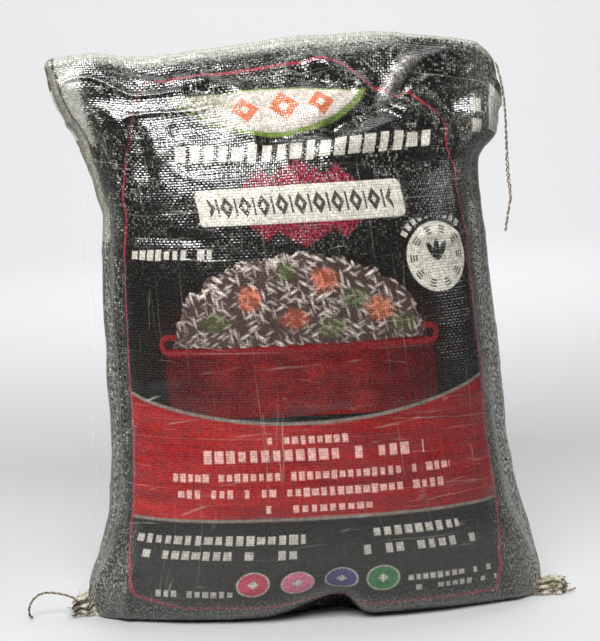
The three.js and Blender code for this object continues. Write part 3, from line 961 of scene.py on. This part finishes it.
def paint_label(sheet):
    """A pale label with a row of diamonds and bars."""
    u, v = sheet.u - LABEL_PLACE[0], abs(sheet.v - LABEL_PLACE[1])
    sheet.shape(box(sheet.u, sheet.v, *LABEL_PLACE, 0.121, 0.0185, 0.006), CREAM)
    along = abs((u / LABEL_PITCH + 0.5).part() - 0.5) * LABEL_PITCH
    reach = along / 0.0078 + v / 0.0115
    diamond = inside((reach - 1) * 0.006, 0.0005)
    heart = inside((reach - 0.36) * 0.006, 0.0005)
    bar = inside((v - 0.009).most(abs(along - LABEL_PITCH / 2) - 0.0012), 0.0004)
    window = inside(abs(u) - 0.1075, 0.0004)
    sheet.paint((diamond - heart).most(bar) * window * 0.92, BLACK_INK)


def paint_upper(sheet):
    """A dish with a green rim and lozenges, a row of marks, the side's marks, and a painted
    highlight with crease whitening along a fold's crest.
    """
    u, v = sheet.u, sheet.v
    dish = ellipse(u, v, -0.008, 0.64, 0.119, 0.071)
    rim = v + u * 0.085 - 0.6206 + u.spread(-0.03, -0.12, 0.0, 0.006)
    faint = mottle(u * 210, v * 330, 8.0, 2.0, 0.7).spread(0.4, 0.6)
    faint = faint.most(u.spread(-0.1, -0.04)) * u.spread(-0.125, -0.03, 0.7, 1.0)
    sheet.paint(inside(dish.most(rim)) * faint, GREEN_RIM)
    sheet.paint(inside((dish + 0.0048).most(rim + 0.0016)) * faint, "b5aba2")
    for place, size in ((-0.042, 0.9), (0.003, 1.0), (0.046, 0.85)):
        sheet.shape(lozenge(u, v, place, 0.6, 0.018 * size, 0.0165 * size), ORANGE)
        sheet.shape(lozenge(u, v, place, 0.6, 0.006 * size, 0.005 * size), CREAM)
    sheet.marks(-0.134, 0.176, 0.551, 0.021, 0.0172, 3, PALE_INK, bow=0.35)
    for centre in (0.6015, 0.575):
        sheet.shape(box(u, v, 0.2325, centre, 0.0055, 0.0085), "9d9a91")
    # Painted highlight along the crest of the fold at the top right, partly crease whitening,
    # broken up by a mottle.
    ridge_highlight = abs((u - 0.121) * 0.78 - (v - 0.604) * 0.625).most(abs(v - 0.624) - 0.018)
    frayed = mottle(u * 260, v * 260, 2.0, 3.0, 0.7).spread(0.35, 0.6)
    sheet.paint(ridge_highlight.spread(0.002, 0.01, 0.7, 0.0) * frayed, "cfcac2")
    paint_burst(sheet)
    paint_label(sheet)


def paint_seal(sheet):
    """A round pale seal with rings of notches, three leaves and an arc of marks over it."""
    u, v = sheet.u - SEAL_PLACE[0], sheet.v - SEAL_PLACE[1]
    seal = ellipse(u, v, 0, 0, 0.0385, 0.0345)
    sheet.shape(seal, CREAM)
    angle = u.math("ARCTAN2", v * 1.11)
    over = (angle + 0.1) / 0.19
    arc = inside(abs(seal - 0.0078) - 0.0034, 0.0005) * inside(abs(over.part() - 0.5) - 0.3, 0.08)
    sheet.paint(arc * inside(abs(angle + 0.1) - 0.95, 0.02) * 0.85, PALE_INK)
    notch = inside(abs((angle * (10 / math.tau)).part() - 0.5) - 0.2, 0.03)
    for ring in (-0.0045, -0.0075, -0.0105):
        sheet.paint(inside(abs(seal - ring) - 0.0009, 0.0003) * notch * 0.85, BLACK_INK)
    for turn in (-0.6, 0.0, 0.6):
        x, y = u - 0.011 * math.sin(turn), v + 0.004 - 0.011 * math.cos(turn)
        sheet.shape(ellipse(*turned(x, y, turn), 0, 0, 0.0038, 0.0105), BLACK_INK)


def paint_basket(sheet):
    """A ribbed red basket, darker at its sides."""
    u, v = sheet.u, sheet.v
    shade = ellipse(u, v, 0.0, 0.352, 0.165, 0.078)
    sheet.paint(shade.spread(-0.01, 0.012, 0.55, 0.0), "2b0a0c")
    lit = mottle(u * 30, v * 70, 7.0, 3.0, 0.6).spread(0.4, 0.7)
    ribs = (u / 0.0085).sine().spread(-1, 1, 0, 1)
    hoops = (v / 0.0052).sine().spread(-1, 1, 0, 1)
    colour = mix_colour(ribs * hoops * 0.25 + lit * 0.3, "560a0e", "922420")
    far = abs(u - BASKET_MIDDLE).spread(0.05, 0.15, 0.0, 0.75, "SMOOTHSTEP")
    colour = mix_colour(far, colour, "2f090c")
    sheet.shape(box(u, v, BASKET_MIDDLE, 0.32, 0.152, 0.05, 0.03), colour)
    rim = box(u, v, BASKET_MIDDLE, 0.364, 0.156, 0.0075, 0.0075)
    sheet.shape(abs(rim) - 0.003, "6e191b")


def paint_mound(sheet):
    """A heap of pale grains that lie three ways, with orange and green bits in it."""
    u, v = sheet.u, sheet.v
    wobble = mottle(u * 60, v * 60, 0.0, 3.0, 0.6) - 0.5
    mound = ellipse(u, v, -0.002, 0.362, 0.142, 0.088) + wobble * 0.022
    mound = mound.most(0.3615 - v + wobble * 0.006)
    heap = None
    for turn, seed in ((0.5, 0.0), (-0.45, 5.0), (1.3, 9.0)):
        x, y = turned(u, v, turn)
        grains = cells(combine(x * 58, y * 215, seed))
        grain = Field(grains["Distance"]).spread(0.12, 0.52, 1.0, 0.0)
        grain = grain * white_noise(grains["Position"])[0].spread(0, 1, 0.35, 1.0)
        heap = grain if heap is None else heap.most(grain)
    depth = mottle(u * 26, v * 34, 1.0).spread(0.3, 0.65, 0.55, 1.0)
    heap = (heap * depth * v.spread(0.445, 0.365, 1.0, 0.6)).spread(0.1, 0.85)
    sheet.shape(mound, mix_colour(heap, "40322f", "e4d6cb"))
    for cu, cv, size, colour in (
        (-0.052, 0.408, 0.013, "c25a35"), (0.03, 0.424, 0.012, "c25a35"),
        (0.09, 0.392, 0.013, "c8683e"), (-0.005, 0.385, 0.011, "b9512f"),
        (-0.095, 0.384, 0.012, "4c5f2c"), (-0.012, 0.433, 0.01, "4c5f2c"),
        (0.062, 0.404, 0.012, "3f5526"), (0.115, 0.376, 0.01, "4c5f2c"),
        (0.036, 0.377, 0.012, "4c5f2c"),
    ):
        spot = ellipse(u, v, cu, cv, size * 1.2, size * 0.8) + wobble * 0.02
        sheet.paint(inside(spot, 0.003) * heap.spread(0.05, 0.45, 0.35, 0.85), colour)


def paint_band(sheet):
    """A bowed red band with a grey outline, with painted light and shade where the cloth ripples,
    painted lighter on the left.
    """
    u, v = sheet.u, sheet.v
    top_edge, bottom_edge = v - 0.2855 - u * u * 0.72, 0.186 - v
    band = top_edge.most(bottom_edge).most(abs(u - PANEL_MIDDLE) - PANEL_HALF)
    sheet.shape(band, OUTLINE_GREY)
    # Painted light and shade of ripples across the band, lighter towards the left.
    ripple_light_and_shade = mottle(u * 5, v * 52 + u * 4, 3.0, 3.0, 0.6).spread(0.36, 0.66)
    ripple_light_and_shade = ripple_light_and_shade * u.spread(-0.1, 0.12, 1.0, 0.6)
    sheet.shape(band + 0.0034, mix_colour(ripple_light_and_shade, BAND_RED, "a01c18"))


def paint_lower(sheet):
    """Rows of marks on the band and below it, and four coloured dots."""
    u, v = sheet.u, sheet.v
    for row in (
        (-0.048, 0.054, 0.2675, 0.009, 0.0092, 11),
        (-0.120, 0.126, 0.2525, 0.0135, 0.0128, 12),
        (-0.156, 0.154, 0.2315, 0.009, 0.0088, 13),
        (-0.149, 0.145, 0.215, 0.009, 0.0092, 14),
        (-0.053, 0.063, 0.1985, 0.008, 0.0098, 15),
    ):
        sheet.marks(*row, "d9a99f", strength=0.85)
    for row in (
        (-0.196, -0.010, 0.167, 0.0105, 0.0112, 16),
        (-0.185, -0.010, 0.1505, 0.0105, 0.0112, 17),
        (0.059, 0.154, 0.170, 0.0105, 0.0112, 18),
        (0.036, 0.172, 0.152, 0.0105, 0.0112, 19),
        (-0.161, -0.078, 0.1085, 0.0085, 0.0082, 20),
        (0.091, 0.185, 0.1175, 0.007, 0.0074, 21),
        (0.091, 0.184, 0.106, 0.007, 0.0074, 22),
    ):
        sheet.marks(*row, PALE_INK)
    for cu, cv, colour in (
        (-0.061, 0.119, "b23a4e"), (-0.017, 0.118, "cf7090"),
        (0.026, 0.1205, "4b4373"), (0.067, 0.12, "2f7040"),
    ):
        dot = ellipse(u, v, cu, cv, 0.0165, 0.0135)
        sheet.shape(dot, "b9b3a8")
        sheet.shape(dot + 0.0012, colour)
        sheet.shape(lozenge(u, v, cu, cv, 0.0055, 0.0045), PALE_INK)


def upper_print(sheet):
    paint_border(sheet)
    paint_upper(sheet)


def middle_print(sheet):
    paint_burst(sheet)
    sheet.marks(-0.196, -0.094, 0.452, 0.011, 0.0105, 5, PALE_INK)
    for paint in (paint_seal, paint_basket, paint_mound, paint_band, paint_border):
        paint(sheet)


def lower_print(sheet):
    for paint in (paint_band, paint_lower, paint_border):
        paint(sheet)


def score_lines(across, along, pitch, seed):
    """Long thin straight lines, one in each pitch at a random place, coming and going."""
    cell = across / pitch
    place, strength, _ = white_noise(combine(cell.floor(), seed))
    off = abs(cell.part() - place.spread(0, 1, 0.1, 0.9)) * pitch
    drift = mottle(along * 9, cell.floor(), seed)
    grain = mottle(along * 260, across * 260, seed)
    seen = drift.spread(0.46, 0.62) * strength.spread(0.4, 1.0) * grain.spread(0.3, 0.6, 0.3, 1.0)
    return off.spread(0.0002, 0.0009, 1.0, 0.0) * seen


def film_over_weave(shader, girth, v):
    """Woven tape under clear film: relief, glints, scratches and creases."""
    x = girth / TAPE_PITCH + mottle(girth * 14, v * 14) * 0.9
    y = v / TAPE_PITCH + mottle(girth * 11, v * 17, 4.0) * 0.9
    column, row = x.floor(), y.floor()
    weft = ((column + row) * 0.5).part().above(0.25)
    warp = 1 - weft
    a, b = x.part() - 0.5, y.part() - 0.5
    tilt_u, tilt_v, tone = white_noise(combine(column, row))
    lean, shade, _ = white_noise(combine(weft * row + warp * column, weft))
    slope_u = (a * math.pi).sine() * weft * WEFT_CROWN + a * warp * TAPE_CROWN
    slope_v = (b * math.pi).sine() * warp * WARP_CROWN + b * weft * TAPE_CROWN
    slope_u = slope_u + (tilt_u - 0.5) * TAPE_TILT + warp * (lean - 0.5) * WARP_LEAN
    slope_v = slope_v + (tilt_v - 0.5) * TAPE_TILT + weft * (lean - 0.5) * WEFT_LEAN
    length = (slope_u * slope_u + slope_v * slope_v + 1).root()
    slopes = combine(
        slope_u / length * 0.5 + 0.5, slope_v / length * 0.5 + 0.5, 0.5 / length + 0.5
    )
    normal = add_node(shader.id_data, "NormalMap", {"Color": slopes}, uv_map="UVMap")
    near, both = (a * a).most(b * b), (a * a).least(b * b)
    hole = inside(0.13 - both, 0.03) * tone.spread(0.1, 0.8, 0.45, 1.0)
    seam = near.spread(0.15, 0.22)

    bent = mottle(girth * 12, v * 20, 2.0) * 0.7
    crease = cell_edges(combine(girth * 7, v * 62 + bent), 0.03)
    crease = crease * mottle(girth * 6, v * 70, 0.0, 3.0, 0.7).spread(0.55, 0.7)
    scratch = cell_edges(combine(girth * 45 + bent, v * 5), 0.02)
    scratch = scratch * mottle(girth * 30, v * 6, 9.0, 3.0, 0.7).spread(0.58, 0.72)
    upright = score_lines(girth + v * 0.05, v, 0.031, 51)
    level = score_lines(v + girth * 0.015, girth, 0.023, 52)
    whitened = (crease * 0.7).most(scratch * 0.5).most(upright * 0.36).most(level * 0.32)

    rice = mottle(girth * 240, v * 330)
    drawn = mottle(girth * 11, v * 170, 8.0) * v.spread(0.5, 0.58)
    relief = rice * 0.5 + whitened * 1.2 + drawn * 1.6
    add_relief(shader, relief, 0.5, 0.0005, normal.outputs[0])
    feed(shader.inputs["Roughness"], shade.spread(0, 1, 0.13, 0.22) + seam * 0.08)
    shader.inputs["IOR"].default_value = 1.5
    shader.inputs["Specular IOR Level"].default_value = 0.5
    # Mask for painted highlights on the tape crowns, laid into the base colour.
    crown_highlight = near.spread(0.05, 0.19, 1.0, 0.0) * tilt_u.spread(0.4, 0.85) * tone.spread(0.1, 0.7)
    return hole, seam, whitened, crown_highlight, tone


def bag_material(name, paint_region, edge_width):
    """The print under its wear and painted light: painted highlights on the tape crowns, pale
    streaks on the sides and foot that are partly scuffing and partly painted reflection, and pits
    in the ink.
    """
    material, shader = new_material(name)
    uv = add_node(shader.id_data, "UVMap", uv_map="UVMap").outputs[0]
    girth, v, _ = separate(uv)
    hole, seam, whitened, crown_highlight, tone = film_over_weave(shader, girth, v)
    half = FLAT_WIDTH + edge_width
    u = ((girth + edge_width / 2) / half).part() * half - edge_width / 2 - FLAT_WIDTH / 2
    sheet = Print(u, v, print_ground(u, v))
    paint_region(sheet)
    worn = (0.028 - abs(u - 0.25)).spread(0.0, 0.02) * v.spread(0.5, 0.4, 0.12, 1.0)
    worn = worn.most((0.005 - abs(u + 0.254)).spread(0.0, 0.004) * 0.45)
    streak = mottle(u * 640 + v * 90, v * 200 - u * 40, 3.0, 3.0, 0.75).spread(0.46, 0.58)
    pitted = mottle(u * 520, v * 460 + u * 140, 7.0, 2.0, 0.75)
    # Where the tape crowns get painted highlights: the upper part, the sides and the foot.
    highlight_zone = v.spread(0.42, 0.55).most(abs(u).spread(0.195, 0.22)).most(v.spread(0.12, 0.06))
    patch = mottle(u * 28, v * 34, 6.0, 3.0, 0.6).spread(0.38, 0.62)
    sides = u.spread(-0.05, 0.05, 0.4, 1.0)
    foot = v.spread(0.11, 0.085).most(abs(u).spread(0.185, 0.2) * v.spread(0.19, 0.13))
    foot = foot.most(abs(u).spread(0.205, 0.225) * v.spread(0.52, 0.2, 0.4, 1.0) * sides)
    rubbed = mottle(u * 470 + v * 60, v * 230 - u * 80, 5.0, 2.0, 0.7).spread(0.5, 0.6)
    # Pale grey painted over the print: paler towards the bottom, painted highlights on tape crowns,
    # and streaks on the foot and flanks that are partly scuffing and partly painted reflection,
    # stronger on the right.
    glints_and_scuffs = v.spread(0.19, 0.14, 0.0, 0.07) + crown_highlight * (highlight_zone * patch + 0.02)
    feed(shader.inputs["Base Color"], layered(
        sheet.colour,
        (glints_and_scuffs.most(foot * rubbed * 0.7), "a2a299"),
        (tone.spread(0.2, 1.0, 0.0, 0.26), "0b0a08"),
        (pitted.spread(0.5, 0.3, 0.0, 0.55), "0b0a08"),
        (pitted.spread(0.58, 0.76, 0.0, 0.09), "c9c7bd"),
        (seam * (tone * 0.35 + 0.1), "090908"),
        (hole * 0.7, "070706"),
        ((whitened * 0.55).most(worn * streak * 0.6), "c4c3b9"),
    ))
    return material


def finish_skin(skin, edge_width):
    """Three bands of print up the bag, each with its own material."""
    for name, region in (
        ("print_lower", lower_print), ("print_middle", middle_print), ("print_upper", upper_print),
    ):
        skin.data.materials.append(bag_material(name, region, edge_width))
    uv = np.empty(len(skin.data.loops) * 2, dtype=np.float32)
    skin.data.uv_layers["UVMap"].data.foreach_get("uv", uv)
    starts = np.empty(len(skin.data.polygons), dtype=np.int32)
    skin.data.polygons.foreach_get("loop_start", starts)
    up = uv.reshape(-1, 2)[starts, 1]
    band = sum((up > split).astype(np.int32) for split in PRINT_SPLITS)
    skin.data.polygons.foreach_set("material_index", band)


def thread_material(name, light, dark, scale):
    material, shader = new_material(name)
    place = add_node(shader.id_data, "TexCoord").outputs["Object"]
    stain = noise(place, scale, 4.0, 0.7).spread(0.35, 0.65)
    feed(shader.inputs["Base Color"], mix_colour(stain, dark, light))
    add_relief(shader, noise(place, scale * 6), 0.5, 0.0002)
    shader.inputs["Roughness"].default_value = 0.75
    return material


def bare_weave_material():
    """Unprinted tape at the cut ends: cream and grey, stained brown and olive in places."""
    material, shader = new_material("bare_tape")
    place = add_node(shader.id_data, "TexCoord").outputs["Object"]
    broad = noise(place, 190, 4.0, 0.65)
    stain = noise(place, 130, 3.0, 0.6, 0.6)
    olive = noise(place, 90)
    feed(shader.inputs["Base Color"], layered(
        "7d7765",
        (broad.spread(0.4, 0.62), "bdb8a8"),
        (stain.spread(0.5, 0.6) * 0.75, "57452f"),
        (olive.spread(0.52, 0.62) * 0.6, "74774a"),
    ))
    shader.inputs["Roughness"].default_value = 0.45
    x, _, z = separate(place)
    ribs = (z * FRAYED_RIBS).sine() + (x * FRAYED_RIBS).sine()
    add_relief(shader, ribs * 0.4 + broad, 0.8, 0.0006)
    return material


# Floor, backdrop and light

def make_stage():
    """A round floor that curves up into a wall on every side."""
    bends = [math.pi / 2 * i / 12 for i in range(13)]
    profile = [
        (STAGE_RADIUS + STAGE_BEND * math.sin(turn), STAGE_BEND * (1 - math.cos(turn)))
        for turn in bends
    ]
    profile.append((STAGE_RADIUS + STAGE_BEND, STAGE_HEIGHT))
    sides = 96
    turns = [2 * math.pi * j / sides for j in range(sides)]
    vertices = [(0, 0, 0)]
    vertices += [(r * math.cos(turn), r * math.sin(turn), z) for r, z in profile for turn in turns]
    faces = [(0, 1 + j, 1 + (j + 1) % sides) for j in range(sides)]
    faces += [face[::-1] for face in grid_faces(len(profile), sides, closed=True, first=1)]
    stage = add_mesh("studio_sweep", vertices, faces)
    material, shader = new_material("studio_paper")
    shader.inputs["Base Color"].default_value = (0.55, 0.552, 0.558, 1)
    shader.inputs["Roughness"].default_value = 0.9
    stage.data.materials.append(material)
    return stage


def make_lights(lit_only):
    """lit_only gives, for a light's name, the only objects that it lights."""
    world = bpy.data.worlds.new("world")
    world.use_nodes = True
    world.node_tree.nodes["Background"].inputs[0].default_value = (0.98, 0.99, 1.0, 1)
    world.node_tree.nodes["Background"].inputs[1].default_value = WORLD_STRENGTH
    bpy.context.scene.world = world
    for name, (place, target, size, watts, spread) in LIGHTS.items():
        data = bpy.data.lights.new(name, "AREA")
        data.shape = "RECTANGLE"
        data.size, data.size_y = size
        data.energy = watts
        data.spread = math.radians(spread)
        light = bpy.data.objects.new(name, data)
        light.location = place
        light.rotation_mode = "QUATERNION"
        light.rotation_quaternion = (Vector(target) - Vector(place)).to_track_quat("-Z", "Y")
        light.visible_camera = False
        bpy.context.collection.objects.link(light)
        if name in lit_only:
            linked = bpy.data.collections.new("lit_by_" + name)
            light.light_linking.receiver_collection = linked
            for piece in lit_only[name]:
                linked.objects.link(piece)
    bpy.context.scene.view_settings.view_transform = "Standard"


# Making everything, camera and cords first

make_camera()
thread_material("thread_yarn_pale", "a5987f", "665a46", 420)
thread_material("thread_yarn_dark", "6b5a48", "35291f", 420)
threads = make_threads()
skin, points, edge_width = make_skin()
finish_skin(skin, edge_width)
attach(skin, "root")
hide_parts("sack")

bare = bare_weave_material()
seam_ends = make_seam_ends()
for piece in seam_ends:
    piece.data.materials.append(bare)
    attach(piece, "root")
    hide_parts("sack")

filament = thread_material("filament_tape", "e4e2da", "b9b6aa", 300)
stitches = make_stitches(points)
stitches.data.materials.append(thread_material("stitch_yarn", "e6e2d6", "a39c8a", 500))
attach(stitches, "root")
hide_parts("sack")
for node, piece in threads.items():
    fine = node == "filament_left"
    if fine:
        piece.data.materials.append(filament)

stage = make_stage()
make_lights({"key": [skin, stitches, *seam_ends, *threads.values()], "floor_fill": [stage]})
